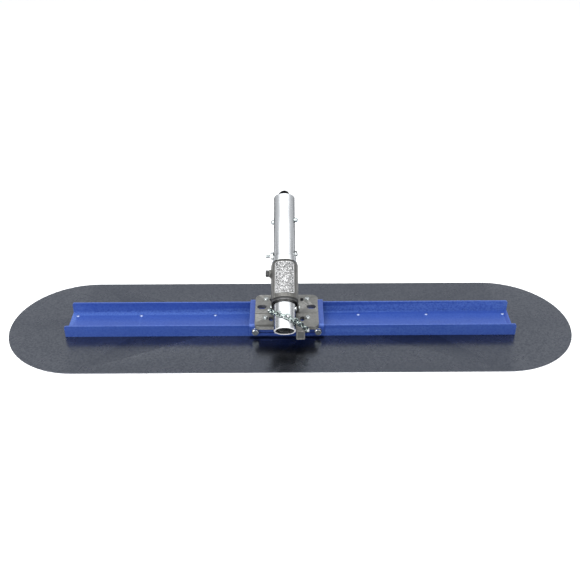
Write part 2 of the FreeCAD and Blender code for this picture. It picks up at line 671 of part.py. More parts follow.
def handle_tube():
    """Tube with a spigot turned on its top end, a ring groove, and holes for its cross bolts and buttons."""
    body = along_tube(TUBE_RADIUS, 0.0, TUBE_LENGTH)
    top = [edge for edge in body.Edges if edge.CenterOfMass.z > TUBE_LENGTH - 1e-6]
    body = body.makeFillet(TUBE_END_ROUND, top)
    lead_start = SPIGOT_START - SPIGOT_LEAD
    lead = Part.makeCone(TUBE_RADIUS, SPIGOT_RADIUS, SPIGOT_LEAD, Vector(0, 0, lead_start), Z_AXIS)
    spigot = lead.fuse(along_tube(SPIGOT_RADIUS, SPIGOT_START, TUBE_LENGTH))
    body = body.cut(along_tube(TUBE_RADIUS + 1.0, lead_start, TUBE_LENGTH).cut(spigot))
    groove = along_tube(TUBE_RADIUS + 1.0, RING_START, RING_START + RING_THICKNESS)
    floor = along_tube(TUBE_RADIUS - RING_GROOVE_DEPTH, RING_START, RING_START + RING_THICKNESS)
    body = body.cut(groove.cut(floor))
    body = body.cut(along_tube(TUBE_RADIUS - TUBE_WALL, 0.0, TUBE_LENGTH))
    far = TUBE_RADIUS + 1.0
    bolt_hole = rod(CROSS_BOLT_RADIUS, Vector(-far, 0, CROSS_BOLT_S), Vector(far, 0, CROSS_BOLT_S))
    button_hole = rod(BUTTON_RADIUS, Vector(-far, 0, BUTTON_S), Vector(far, 0, BUTTON_S))
    chain_hole = rod(CHAIN_BOLT_RADIUS, Vector(-far, 0, CHAIN_BOLT_S), Vector(far, 0, CHAIN_BOLT_S))
    return on_tube(body.cut(bolt_hole).cut(button_hole).cut(chain_hole), turned=True)


def ring_on_tube(radius, start, length):
    """A plain ring that fits the tube."""
    return along_tube(radius, start, start + length).cut(along_tube(TUBE_RADIUS, start, start + length))


def retaining_ring():
    """Snap ring in the tube's groove, in front of the socket."""
    end = RING_START + RING_THICKNESS
    body = along_tube(RING_RADIUS, RING_START, end)
    return on_tube(body.cut(along_tube(TUBE_RADIUS - RING_GROOVE_DEPTH, RING_START, end)))


def mouth_washer():
    """Washer between the snap ring and the lower bush's flange."""
    return on_tube(ring_on_tube(MOUTH_WASHER_RADIUS, MOUTH_WASHER_START, MOUTH_WASHER_THICKNESS))


def thrust_washer():
    """Washer between the socket's top and the stop collar."""
    return on_tube(ring_on_tube(WASHER_RADIUS, SOCKET_END + AXIAL_GAP, WASHER_THICKNESS))


def stop_collar():
    """Collar that keeps the tube from sliding down through the socket."""
    start = SOCKET_END + AXIAL_GAP + WASHER_THICKNESS
    end = start + COLLAR_LENGTH
    body = along_tube(COLLAR_RADIUS, start, end)
    rim = [edge for edge in body.Edges if edge.CenterOfMass.z > end - 1e-6]
    return on_tube(body.makeFillet(COLLAR_ROUND, rim).cut(along_tube(TUBE_RADIUS, start, end)))


def cross_bolt():
    """Bolt across the tube, above the collar."""
    seat = Vector(TUBE_RADIUS, 0, CROSS_BOLT_S)
    length = TUBE_RADIUS + CROSS_BOLT_REACH
    bolt = hex_bolt(CROSS_BOLT_RADIUS, CROSS_BOLT_FLATS, CROSS_BOLT_HEAD, seat, X_AXIS * -1.0, length)
    return on_tube(bolt, turned=True)


def left_nut(flats, radius, start, height, along_s):
    """A nut on a bolt across the tube, outside the tube's left side, in the tube's own frame."""
    seat = Vector(-start, 0, along_s)
    along = X_AXIS * -height
    return hexagon(flats, seat, along).cut(rod(radius, seat, seat + along))


def cross_bolt_nut():
    """Nut on the cross bolt's left end."""
    nut = left_nut(CROSS_NUT_FLATS, CROSS_BOLT_RADIUS, TUBE_RADIUS, CROSS_NUT, CROSS_BOLT_S)
    return on_tube(nut, turned=True)


def button(side):
    """Domed snap button with a flange inside the tube's wall."""
    centre = Vector(0, 0, BUTTON_S)
    out = X_AXIS * side
    shank_radius = BUTTON_RADIUS - BUTTON_RUNNING_GAP
    seat = centre + out * BUTTON_SEAT
    flange = rod(BUTTON_FLANGE_RADIUS, seat - out * BUTTON_FLANGE, seat)
    tip = TUBE_RADIUS + BUTTON_PROUD
    shank = rod(shank_radius, seat, centre + out * (tip - shank_radius))
    dome = Part.makeSphere(shank_radius, centre + out * (tip - shank_radius))
    return on_tube(flange.fuse(shank).fuse(dome).removeSplitter(), turned=True)


def spring_clip():
    """Hairpin leaf spring inside the tube; its bend stands out of the tube's top end."""
    outer_top = CLIP_TOP - CLIP_BEND_RADIUS
    tail = BUTTON_SEAT - BUTTON_FLANGE
    half = CLIP_THICKNESS / 2

    def outline(offset):
        radius = CLIP_BEND_RADIUS - half + offset
        left_low = Vector(-tail + half - offset, 0, CLIP_TAIL)
        left_mid = Vector(-tail + half - offset, 0, BUTTON_S + CLIP_SHOULDER)
        left_high = Vector(-radius, 0, outer_top)
        crown = Vector(0, 0, outer_top + radius)
        right_high = Vector(radius, 0, outer_top)
        right_mid = Vector(tail - half + offset, 0, BUTTON_S + CLIP_SHOULDER)
        right_low = Vector(tail - half + offset, 0, CLIP_TAIL)
        return [left_low, left_mid, left_high, crown, right_high, right_mid, right_low]

    edges = []
    for offset in (-half, half):
        p = outline(offset)
        edges += [Part.makeLine(p[0], p[1]), Part.makeLine(p[1], p[2]), Part.Arc(p[2], p[3], p[4]).toShape()]
        edges += [Part.makeLine(p[4], p[5]), Part.makeLine(p[5], p[6])]
    inner, outer = outline(-half), outline(half)
    edges += [Part.makeLine(inner[0], outer[0]), Part.makeLine(inner[6], outer[6])]
    face = Part.Face(Part.Wire(Part.sortEdges(edges)[0]))
    strip = face.extrude(Y_AXIS * CLIP_WIDTH)
    strip.translate(Y_AXIS * (-CLIP_WIDTH / 2))
    return on_tube(strip, turned=True)


def chain_bolt():
    """Bolt across the tube, its low round head on the right; its left end holds the chain's last link."""
    seat = Vector(TUBE_RADIUS, 0, CHAIN_BOLT_S)
    head = button_head(CHAIN_BOLT_HEAD_RADIUS, CHAIN_BOLT_HEAD, seat, X_AXIS)
    end = Vector(-CHAIN_SEAT - CHAIN_NUT - CHAIN_BOLT_TAIL, 0, CHAIN_BOLT_S)
    return on_tube(head.fuse(rod(CHAIN_BOLT_RADIUS, end, seat)), turned=True)


def chain_bolt_nut():
    """Nut on the chain bolt's left end, outside the chain's last link."""
    nut = left_nut(CHAIN_NUT_FLATS, CHAIN_BOLT_RADIUS, CHAIN_SEAT, CHAIN_NUT, CHAIN_BOLT_S)
    return on_tube(nut, turned=True)


def chain_link():
    """One welded link, its length along X and its width along Y."""
    bend = (LINK_WIDTH - LINK_WIRE) / 2
    half = (LINK_INNER_LENGTH - LINK_WIDTH + 2 * LINK_WIRE) / 2
    wire = LINK_WIRE / 2
    body = None
    for side in (-1, 1):
        end = Part.makeTorus(bend, wire, Vector(), Z_AXIS, -180, 180, 180)
        end.rotate(Vector(), Z_AXIS, -90.0 * side)
        end.translate(X_AXIS * side * half)
        straight = rod(wire, Vector(-half, side * bend, 0), Vector(half, side * bend, 0))
        body = straight if body is None else body.fuse(straight)
        body = body.fuse(end)
    return body.removeSplitter()


def wrap_point(share):
    """A point of the chain over the tube, in the tube's frame; share runs from 0 to 1 at the chain bolt."""
    span = WRAP_FROM_ANGLE + 90.0 + TUBE_REST_TURN
    angle = math.radians(WRAP_FROM_ANGLE - span * share)
    radius = WRAP_RADIUS + WRAP_RISE * share
    climb = (CHAIN_BOLT_S - WRAP_START) * share ** WRAP_CLIMB_POWER
    return Vector(radius * math.sin(angle), -radius * math.cos(angle), WRAP_START + climb)


def hook(radius):
    """How far a link's centre is from the centre of the bolt it hangs on."""
    return LINK_INNER_LENGTH / 2 - radius - LINK_SLACK


def placed_link(centre, along, side, twist):
    """A link at a point, along a direction, its width turned by twist from the direction side."""
    x = Vector(along)
    x.normalize()
    y = side - x * side.dot(x)
    y.normalize()
    y = Rotation(x, twist).multVec(y)
    link = chain_link()
    link.Placement = Placement(centre, Rotation(x, y, x.cross(y), "XYZ"))
    return link


def chain_wrap():
    """The links over the tube, each a quarter turn from the one before; the last lies flat on its bolt."""
    points = [wrap_point(number / WRAP_SAMPLES) for number in range(WRAP_SAMPLES + 1)]
    length = sum((after - before).Length for before, after in zip(points, points[1:]))
    pitch = (length - hook(CHAIN_BOLT_RADIUS)) / (WRAP_LINKS - 0.5)
    links = []
    travelled = 0.0
    for before, point in zip(points, points[1:]):
        travelled += (point - before).Length
        number = len(links)
        if number < WRAP_LINKS and travelled >= (number + 0.5) * pitch - 1e-6:
            outward = Vector(point.x, point.y, 0)
            twist = 45.0 + 90.0 * number + 45.0 * number / (WRAP_LINKS - 1)
            links.append(on_tube(placed_link(point, point - before, outward, twist)))
    return links


def chain_run():
    """The links from the tube down to the lug; the last one hangs square to the anchor bolt."""
    start = TUBE_FRAME.multVec(wrap_point(0.0))
    outward = TUBE_FRAME.Rotation.multVec(Vector(wrap_point(0.0).x, wrap_point(0.0).y, 0))
    hang = start - ANCHOR
    hang.x = 0.0
    hang.normalize()
    last = ANCHOR + hang * hook(ANCHOR_RADIUS)
    along = last + hang * ((LINK_INNER_LENGTH - LINK_SLACK) / 2) - start
    pitch = along.Length / (RUN_LINKS - 1)
    along.normalize()
    first_side = outward - along * outward.dot(along)
    final_side = X_AXIS - along * X_AXIS.dot(along)
    offset = math.degrees(first_side.getAngle(final_side))
    if first_side.cross(final_side).dot(along) < 0:
        offset = -offset
    links = []
    for number in range(RUN_LINKS - 1):
        twist = 45.0 + 90.0 * number + (offset + 45.0) * (number + 1) / (RUN_LINKS - 1)
        links.append(placed_link(start + along * pitch * (number + 0.5), along, outward, twist))
    links.append(placed_link(last, hang, X_AXIS, 90.0))
    return links


def main():
    os.makedirs("parts", exist_ok=True)
    save("blade", [blade()])
    save("channel", [channel()])
    save("channel_rivets", channel_rivets())
    save("adapter_saddle", [adapter_saddle()])
    save("saddle_bolts", saddle_bolts())
    save("saddle_washers", saddle_washers())
    save("saddle_nuts", saddle_nuts())
    save("base_plate", [base_plate()])
    save("base_bolts", base_bolts())
    save("base_washers", base_washers())
    save("chain_anchor_bolt", [anchor_bolt()])
    save("chain_anchor_washer", [anchor_washer()])
    save("hinge_pin", [hinge_pin()])
    save("hinge_pin_clip", [hinge_pin_clip()])
    save("socket_casting", [socket_casting()])
    save("label_plate", [label_plate()])
    save("lower_bushing", [lower_bushing()])
    save("upper_bushing", [upper_bushing()])
    save("return_spring", [return_spring()])
    save("lock_screw", [lock_screw()])
    save("handle_tube", [handle_tube()])
    save("retaining_ring", [retaining_ring()])
    save("thrust_washer", [thrust_washer()])
    save("stop_collar", [stop_collar()])
    save("cross_bolt", [cross_bolt()])
    save("cross_bolt_nut", [cross_bolt_nut()])
    save("left_button", [button(-1)])
    save("right_button", [button(1)])
    save("spring_clip", [spring_clip()])
    save("mouth_washer", [mouth_washer()])
    save("chain_bolt", [chain_bolt()])
    save("chain_bolt_nut", [chain_bolt_nut()])
    save("chain_wrap", chain_wrap())
    save("chain_run", chain_run())


main()
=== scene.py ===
import json
import math

import bpy
from mathutils import Matrix, Vector, noise


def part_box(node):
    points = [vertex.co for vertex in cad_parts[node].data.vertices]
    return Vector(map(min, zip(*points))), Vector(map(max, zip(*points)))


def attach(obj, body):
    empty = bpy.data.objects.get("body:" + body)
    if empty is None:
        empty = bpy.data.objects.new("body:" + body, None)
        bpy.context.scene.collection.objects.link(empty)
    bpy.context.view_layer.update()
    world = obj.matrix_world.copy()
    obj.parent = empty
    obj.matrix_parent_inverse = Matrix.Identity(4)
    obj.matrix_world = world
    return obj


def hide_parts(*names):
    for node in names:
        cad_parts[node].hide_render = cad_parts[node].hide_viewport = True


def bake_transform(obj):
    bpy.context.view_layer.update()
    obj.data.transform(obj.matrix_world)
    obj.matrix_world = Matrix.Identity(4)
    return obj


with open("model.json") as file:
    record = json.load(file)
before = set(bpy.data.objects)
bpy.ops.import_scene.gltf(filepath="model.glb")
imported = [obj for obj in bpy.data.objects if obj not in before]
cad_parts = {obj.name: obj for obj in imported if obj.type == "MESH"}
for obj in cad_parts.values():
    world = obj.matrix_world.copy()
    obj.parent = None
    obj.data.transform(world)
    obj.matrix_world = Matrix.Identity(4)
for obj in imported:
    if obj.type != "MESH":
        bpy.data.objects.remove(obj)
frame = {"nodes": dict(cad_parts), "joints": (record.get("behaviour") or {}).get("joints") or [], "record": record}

# Bull float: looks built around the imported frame, in metres. Lengths named in millimetres end in _MM.
MM = 0.001
JOINTS = {joint["name"]: joint for joint in frame["joints"]}
RECORD_SLOTS = {part["node"]: part["material_slot"] for part in frame["record"]["subparts"]}
NODE_BODY = {node: body for body, nodes in frame["record"]["behaviour"]["bodies"].items() for node in nodes}
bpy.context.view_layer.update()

# The tube's own frame: x across, z along the axis from the tube's low end
TUBE_ORIGIN = Vector(JOINTS["handle_twist"]["pos_m"])
TUBE_AXIS = Vector(JOINTS["handle_twist"]["axis"]).normalized()
TUBE_X = Vector((1, 0, 0))
TUBE_Y = TUBE_AXIS.cross(TUBE_X)
BUTTON_DIRECTION = Vector(JOINTS["left_button_press"]["axis"]).normalized()


def matrix_from(origin, x, y, z):
    """A placement from an origin and three axes."""
    return Matrix.Translation(origin) @ Matrix((x, y, z)).transposed().to_4x4()


TUBE = matrix_from(TUBE_ORIGIN, TUBE_X, TUBE_Y, TUBE_AXIS)
TURNED_TUBE = matrix_from(TUBE_ORIGIN, BUTTON_DIRECTION, TUBE_AXIS.cross(BUTTON_DIRECTION), TUBE_AXIS)


# ---------------------------------------------------------------- camera, light and floor

CAMERA_TARGET = Vector((0.0, 0.1283, 0.0))
CAMERA_DISTANCE = 1.8375
CAMERA_ELEVATION = math.radians(33.22)
CAMERA_YAW = math.radians(-0.19)
CAMERA_ROLL = math.radians(-0.19)
CAMERA_LENS_MM = 53.575
CAMERA_SENSOR_MM = 36.0
CAMERA_CLIP_END = 50.0


def make_camera():
    """The camera looks along +Y and down."""
    back = Vector((
        math.sin(CAMERA_YAW) * math.cos(CAMERA_ELEVATION),
        -math.cos(CAMERA_YAW) * math.cos(CAMERA_ELEVATION),
        math.sin(CAMERA_ELEVATION),
    ))
    level_right = (-back).cross(Vector((0, 0, 1))).normalized()
    level_up = level_right.cross(-back)
    right = math.cos(CAMERA_ROLL) * level_right + math.sin(CAMERA_ROLL) * level_up
    up = back.cross(right)
    camera = bpy.data.objects.new("camera", bpy.data.cameras.new("camera"))
    bpy.context.collection.objects.link(camera)
    camera.matrix_world = matrix_from(CAMERA_TARGET + back * CAMERA_DISTANCE, right, up, back)
    camera.data.lens = CAMERA_LENS_MM
    camera.data.sensor_width = CAMERA_SENSOR_MM
    camera.data.clip_end = CAMERA_CLIP_END
    bpy.context.scene.camera = camera


def area_light(name, place, target, size, power):
    """A soft box that faces a target."""
    light = bpy.data.lights.new(name, "AREA")
    light.shape = "RECTANGLE"
    light.size, light.size_y = size
    light.energy = power
    lamp = bpy.data.objects.new(name, light)
    bpy.context.collection.objects.link(lamp)
    lamp.location = place
    lamp.rotation_euler = (Vector(target) - Vector(place)).to_track_quat("-Z", "Y").to_euler()


# Soft boxes: name, place, target, size and power in watts
SOFT_BOXES = (
    ("key", (-0.7, -1.2, 1.7), (0, 0, 0.05), (0.9, 0.9), 19.0),
    ("fill", (1.0, -1.0, 1.3), (0, 0, 0.05), (0.8, 0.8), 9.0),
    ("top", (0.0, 0.05, 1.9), (0.0, 0.05, 0), (2.2, 1.6), 19.0),
    ("top_left", (-1.75, 0.05, 1.9), (-1.75, 0.05, 0), (1.3, 1.6), 7.5),
    ("top_right", (1.75, 0.05, 1.9), (1.75, 0.05, 0), (1.3, 1.6), 5.5),
    ("low_left", (-0.9, -1.2, 0.4), (-0.35, -0.05, 0.02), (0.6, 0.4), 5.0),
)
FLOOR_HALF = 6.0
FLOOR_HEIGHT = -0.0004


def make_backdrop():
    """A pale world that is darker far out to the left and right."""
    world = bpy.data.worlds.new("studio")
    bpy.context.scene.world = world
    world.use_nodes = True
    tree = world.node_tree
    direction = tree.nodes.new("ShaderNodeTexCoord").outputs["Generated"]
    parts = tree.nodes.new("ShaderNodeSeparateXYZ")
    tree.links.new(direction, parts.inputs[0])
    sideways = tree.nodes.new("ShaderNodeMath")
    sideways.operation = "ABSOLUTE"
    tree.links.new(parts.outputs["X"], sideways.inputs[0])
    shade = tree.nodes.new("ShaderNodeMapRange")
    shade.interpolation_type = "SMOOTHSTEP"
    for socket, number in (("From Min", 0.80), ("From Max", 1.0), ("To Min", 0.95), ("To Max", 0.30)):
        shade.inputs[socket].default_value = number
    tree.links.new(sideways.outputs[0], shade.inputs["Value"])
    backdrop = tree.nodes["Background"]
    backdrop.inputs["Color"].default_value = (0.95, 0.97, 1.0, 1.0)
    tree.links.new(shade.outputs["Result"], backdrop.inputs["Strength"])


def make_floor():
    """A pale floor just under the blade."""
    floor_mesh = bpy.data.meshes.new("floor")
    corners = [(x * FLOOR_HALF, y * FLOOR_HALF, FLOOR_HEIGHT) for x, y in ((-1, -1), (1, -1), (1, 1), (-1, 1))]
    floor_mesh.from_pydata(corners, [], [(0, 1, 2, 3)])
    floor = bpy.data.objects.new("floor", floor_mesh)
    bpy.context.collection.objects.link(floor)
    pale = bpy.data.materials.new("pale_floor")
    pale.use_nodes = True
    shader = pale.node_tree.nodes["Principled BSDF"]
    shader.inputs["Base Color"].default_value = (0.97, 0.97, 0.97, 1.0)
    shader.inputs["Roughness"].default_value = 0.9
    floor_mesh.materials.append(pale)


def make_studio():
    """Backdrop, soft boxes and floor."""
    make_backdrop()
    for soft_box in SOFT_BOXES:
        area_light(*soft_box)
    make_floor()


# ---------------------------------------------------------------- materials

class Nodes:
    """Short calls for building one material's node tree."""

    def __init__(self, name):
        self.material = bpy.data.materials.new(name)
        self.material.use_nodes = True
        self.tree = self.material.node_tree
        self.shader = self.tree.nodes["Principled BSDF"]

    def add(self, kind, **settings):
        """A new node with its settings."""
        node = self.tree.nodes.new(kind)
        for key, value in settings.items():
            setattr(node, key, value)
        return node

    def link(self, output, socket):
        """A link from an output to a socket."""
        self.tree.links.new(output, socket)

    def noise(self, scale, stretch=(1, 1, 1), detail=4.0, roughness=0.55):
        """Noise over the piece's own place, in features per metre, stretched by axis."""
        place = self.add("ShaderNodeTexCoord").outputs["Object"]
        mapping = self.add("ShaderNodeMapping")
        mapping.inputs["Scale"].default_value = stretch
        self.link(place, mapping.inputs["Vector"])
        texture = self.add("ShaderNodeTexNoise")
        texture.inputs["Scale"].default_value = scale
        texture.inputs["Detail"].default_value = detail
        texture.inputs["Roughness"].default_value = roughness
        self.link(mapping.outputs["Vector"], texture.inputs["Vector"])
        return texture.outputs["Fac"]

    def spread(self, value, low, high, out_low, out_high):
        """Map a value from one range to another, clamped."""
        node = self.add("ShaderNodeMapRange")
        for socket, number in zip(("From Min", "From Max", "To Min", "To Max"), (low, high, out_low, out_high)):
            node.inputs[socket].default_value = number
        self.link(value, node.inputs["Value"])
        return node.outputs["Result"]

    def mix(self, factor, first, second):
        """Mix two colours, each a tuple or an output."""
        node = self.add("ShaderNodeMix", data_type="RGBA")
        self.link(factor, node.inputs["Factor"])
        for socket, colour in ((6, first), (7, second)):
            if isinstance(colour, tuple):
                node.inputs[socket].default_value = (*colour, 1.0)
            else:
                self.link(colour, node.inputs[socket])
        return node.outputs[2]

    def bump(self, height, strength, distance, below=None):
        """A bump, laid over another one if given."""
        node = self.add("ShaderNodeBump")
        node.inputs["Strength"].default_value = strength
        node.inputs["Distance"].default_value = distance
        self.link(height, node.inputs["Height"])
        if below is not None:
            self.link(below, node.inputs["Normal"])
        return node.outputs["Normal"]

    def low_end(self):
        """1 on the face at the tube's low end and 0 above it."""
        away = self.add("ShaderNodeVectorMath", operation="SUBTRACT")
        self.link(self.add("ShaderNodeTexCoord").outputs["Object"], away.inputs[0])
        away.inputs[1].default_value = TUBE_ORIGIN
        along = self.add("ShaderNodeVectorMath", operation="DOT_PRODUCT")
        self.link(away.outputs[0], along.inputs[0])
        along.inputs[1].default_value = TUBE_AXIS
        return self.spread(along.outputs["Value"], 0.0003, 0.0008, 1.0, 0.0)

    def edges(self, low, high):
        """0 on flats and 1 on outer edges: the mask of a painted edge highlight."""
        point = self.add("ShaderNodeNewGeometry").outputs["Pointiness"]
        return self.spread(point, low, high, 0.0, 1.0)


def scaled(colour, factor):
    """A colour made lighter or darker."""
    return tuple(min(1.0, channel * factor) for channel in colour)


def metal(name, colour, roughness, metallic=1.0, blotch=12.0, contrast=0.12, edge=None, cast=0.0,
          coat=0.0, specks=None, brushed=None, rim=None, cut=None):
    """A metal or painted surface: blotchy colour, uneven roughness, fine or cast relief, and a painted highlight on
    outer edges.
    """
    n = Nodes(name)
    blotches = n.noise(blotch, detail=6.0)
    tone = n.mix(n.spread(blotches, 0.3, 0.7, 0.0, 1.0), scaled(colour, 1 - contrast), scaled(colour, 1 + contrast))
    if specks is not None:
        speckle = n.noise(900.0, detail=2.0)
        tone = n.mix(n.spread(speckle, 0.56, 0.7, 0.0, 0.75), tone, specks)
    if brushed is not None:
        streaks = n.noise(1.0, stretch=brushed, detail=4.0, roughness=0.7)
        tone = n.mix(n.spread(streaks, 0.3, 0.7, 0.0, 1.0), tone, scaled(colour, 1.08))
    # Painted highlight: outer edges are lightened towards the edge colour, broken up by noise, in place of light
    # caught on them.
    if edge is not None:
        ragged = n.noise(260.0, detail=3.0)
        painted_edge_highlight = n.add("ShaderNodeMath", operation="MULTIPLY")
        n.link(n.edges(0.505, 0.56), painted_edge_highlight.inputs[0])
        n.link(n.spread(ragged, 0.3, 0.6, 0.35, 1.0), painted_edge_highlight.inputs[1])
        tone = n.mix(painted_edge_highlight.outputs[0], tone, edge)
    if cut is not None:
        sawn = n.low_end()
        tone = n.mix(sawn, tone, cut)
    n.link(tone, n.shader.inputs["Base Color"])
    n.shader.inputs["Metallic"].default_value = metallic
    n.shader.inputs["Coat Weight"].default_value = coat
    n.shader.inputs["Coat Roughness"].default_value = 0.12
    if rim is not None:
        n.shader.inputs["Specular Tint"].default_value = (*rim, 1.0)
    uneven = n.noise(blotch * 4, detail=5.0)
    gloss = n.spread(uneven, 0.3, 0.7, roughness * 0.85, roughness * 1.2)
    if cut is not None:
        rougher = n.add("ShaderNodeMath", operation="MAXIMUM")
        n.link(gloss, rougher.inputs[0])
        n.link(n.spread(sawn, 0.0, 1.0, 0.0, 0.75), rougher.inputs[1])
        gloss = rougher.outputs[0]
    n.link(gloss, n.shader.inputs["Roughness"])
    if cast:
        relief = n.bump(n.noise(700.0, detail=3.0), cast, 0.00025)
        relief = n.bump(n.noise(120.0, detail=2.0), cast * 0.5, 0.0006, relief)
    else:
        relief = n.bump(n.noise(400.0, detail=3.0), 0.08, 0.00005)
    n.link(relief, n.shader.inputs["Normal"])
    return n.material


def label_metal(face_radius):
    """Bright relief with darker hollows, by distance from the tube's axis."""
    n = Nodes("label_metal")
    place = n.add("ShaderNodeTexCoord").outputs["Object"]
    away = n.add("ShaderNodeVectorMath", operation="SUBTRACT")
    away.inputs[1].default_value = TUBE_ORIGIN
    n.link(place, away.inputs[0])
    across = n.add("ShaderNodeVectorMath", operation="CROSS_PRODUCT")
    across.inputs[1].default_value = TUBE_AXIS
    n.link(away.outputs[0], across.inputs[0])
    distance = n.add("ShaderNodeVectorMath", operation="LENGTH")
    n.link(across.outputs[0], distance.inputs[0])
    raised = n.spread(distance.outputs["Value"], face_radius - 0.00055, face_radius - 0.0001, 0.0, 1.0)
    smudge = n.mix(n.spread(n.noise(90.0), 0.35, 0.65, 0.0, 1.0), (0.62, 0.62, 0.62), (0.92, 0.92, 0.92))
    n.link(n.mix(raised, (0.10, 0.10, 0.099), smudge), n.shader.inputs["Base Color"])
    n.shader.inputs["Metallic"].default_value = 0.85
    n.link(n.spread(n.noise(300.0), 0.3, 0.7, 0.3, 0.5), n.shader.inputs["Roughness"])
    n.link(n.bump(n.noise(1200.0), 0.3, 0.0001), n.shader.inputs["Normal"])
    return n.material


def make_materials():
    """One material for each of the record's slots except label_metal, which needs the label's radius."""
    # Each edge colour is a painted highlight laid on the material's outer edges.
    return {
        "blade_steel": metal("blade_steel", (0.050, 0.057, 0.076), 0.25, brushed=(3, 260, 260), blotch=4.0,
                             contrast=0.06, edge=(0.22, 0.23, 0.25)),
        "blue_paint": metal("blue_paint", (0.011, 0.040, 0.24), 0.38, metallic=0.2, brushed=(4, 160, 160),
                            blotch=9.0, contrast=0.12, edge=(0.07, 0.14, 0.42), coat=0.12),
        "cast_metal": metal("cast_metal", (0.142, 0.143, 0.137), 0.5, metallic=0.7, blotch=45.0, contrast=0.16,
                            edge=(0.36, 0.355, 0.335), cast=0.3, specks=(0.10, 0.098, 0.09)),
        "socket_metal": metal("socket_metal", (0.078, 0.077, 0.073), 0.45, metallic=0.75, blotch=45.0,
                              contrast=0.18, edge=(0.24, 0.235, 0.22), cast=0.3, specks=(0.05, 0.05, 0.045)),
        "tube_aluminium": metal("tube_aluminium", (0.54, 0.55, 0.56), 0.26, brushed=(90, 90, 4), blotch=16.0,
                                contrast=0.03, rim=(0.0, 0.0, 0.0), cut=(0.95, 0.95, 0.95)),
        "zinc": metal("zinc", (0.40, 0.44, 0.44), 0.2, blotch=160.0, contrast=0.16, edge=(0.8, 0.82, 0.81),
                      rim=(0.0, 0.0, 0.0)),
        "chain_zinc": metal("chain_zinc", (0.34, 0.39, 0.375), 0.2, blotch=220.0, contrast=0.3,
                            edge=(0.78, 0.84, 0.82), rim=(0.0, 0.0, 0.0)),
        "washer_steel": metal("washer_steel", (0.055, 0.055, 0.053), 0.45, blotch=120.0, contrast=0.15,
                              edge=(0.16, 0.16, 0.16)),
        "black_nylon": metal("black_nylon", (0.018, 0.018, 0.019), 0.45, metallic=0.0, blotch=120.0,
                             contrast=0.15),
        "rivet_metal": metal("rivet_metal", (0.30, 0.36, 0.56), 0.35, blotch=200.0, contrast=0.12),
        "bronze": metal("bronze", (0.42, 0.29, 0.13), 0.35, blotch=60.0, contrast=0.2),
        "spring_steel": metal("spring_steel", (0.022, 0.022, 0.024), 0.34, blotch=90.0, contrast=0.25,
                              edge=(0.07, 0.07, 0.07), rim=(0.0, 0.0, 0.0)),
        "dark_steel": metal("dark_steel", (0.028, 0.028, 0.028), 0.3, blotch=150.0, contrast=0.3,
                            edge=(0.09, 0.09, 0.09), rim=(0.0, 0.0, 0.0)),
    }


MATERIALS = make_materials()


# ---------------------------------------------------------------- mesh helpers

WELD_DISTANCE_MM = 0.005
SOFT_EDGE_ANGLE = math.radians(30.0)


def new_piece(name, points, faces, node, rides=True):
    """A smooth mesh in place of a CAD node, with its slot's material; it rides on the node's body unless rides is
    false.
    """
    mesh = bpy.data.meshes.new(name)
    mesh.from_pydata([tuple(point) for point in points], [], faces)
    mesh.validate()
    mesh.update()
    mesh.polygons.foreach_set("use_smooth", [True] * len(mesh.polygons))
    piece = bpy.data.objects.new(name, mesh)
    bpy.context.collection.objects.link(piece)
    slot = RECORD_SLOTS[node]
    if slot in MATERIALS:
        mesh.materials.append(MATERIALS[slot])
    if rides:
        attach(piece, NODE_BODY[node])
    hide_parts(node)
    return piece


def soften(piece, width):
    """Rounded edges on a piece, after its doubled points are welded."""
    join = piece.modifiers.new("weld", "WELD")
    join.merge_threshold = WELD_DISTANCE_MM * MM
    bevel = piece.modifiers.new("soft_edges", "BEVEL")
    bevel.width = width
    bevel.segments = 2
    bevel.limit_method = "ANGLE"
    bevel.angle_limit = SOFT_EDGE_ANGLE
    bevel.harden_normals = True


def lathe(profile, segments):
    """Points and faces of a closed profile of (radius, height) turned about z."""
    points, faces = [], []
    for radius, height in profile:
        for step in range(segments):
            angle = 2 * math.pi * step / segments
            points.append(Vector((radius * math.cos(angle), radius * math.sin(angle), height)))
    rows = len(profile)
    for row in range(rows):
        following = (row + 1) % rows
        for step in range(segments):
            ahead = (step + 1) % segments
            faces.append((row * segments + step, row * segments + ahead,
                          following * segments + ahead, following * segments + step))
    return points, faces


def placed(points, matrix):
    """Points moved by a matrix."""
    return [matrix @ point for point in points]


def hex_reach(angle, flats):
    """Distance from a hexagon's centre to its side, in a direction; its corners lie on the x axis."""
    turned = (angle + math.pi / 6) % (math.pi / 3) - math.pi / 6
    return flats / 2 / math.cos(math.pi / 6 - abs(turned))


def hex_solid(flats, height, bore=0.0, both=False, segments=72):
    """A chamfered hexagon head, or a nut with a bore, standing on z = 0."""
    crown = flats * 0.475
    slope = math.tan(math.radians(30))
    rings = []
    for step in range(segments):
        angle = 2 * math.pi * step / segments
        reach = hex_reach(angle, flats)
        drop = max(0.0, (reach - crown) * slope)
        base = drop if both else 0.0
        column = [(crown, 0.0), (reach, base), (reach, height - drop), (crown, height)]
        if bore:
            column = [(bore * 1.08, 0.0)] + column + [(bore * 1.08, height), (bore, height - bore * 0.1),
                                                      (bore, bore * 0.1)]
        rings.append([Vector((r * math.cos(angle), r * math.sin(angle), z)) for r, z in column])
    rows = len(rings[0])
    points = [point for column in rings for point in column]
    faces = []
    last = rows if bore else rows - 1
    for step in range(segments):
        ahead = (step + 1) % segments
        for row in range(last):
            following = (row + 1) % rows
            faces.append((step * rows + row, ahead * rows + row, ahead * rows + following, step * rows + following))
    if not bore:
        faces.append([step * rows + rows - 1 for step in range(segments)])
        faces.append([step * rows for step in reversed(range(segments))])
    return points, faces


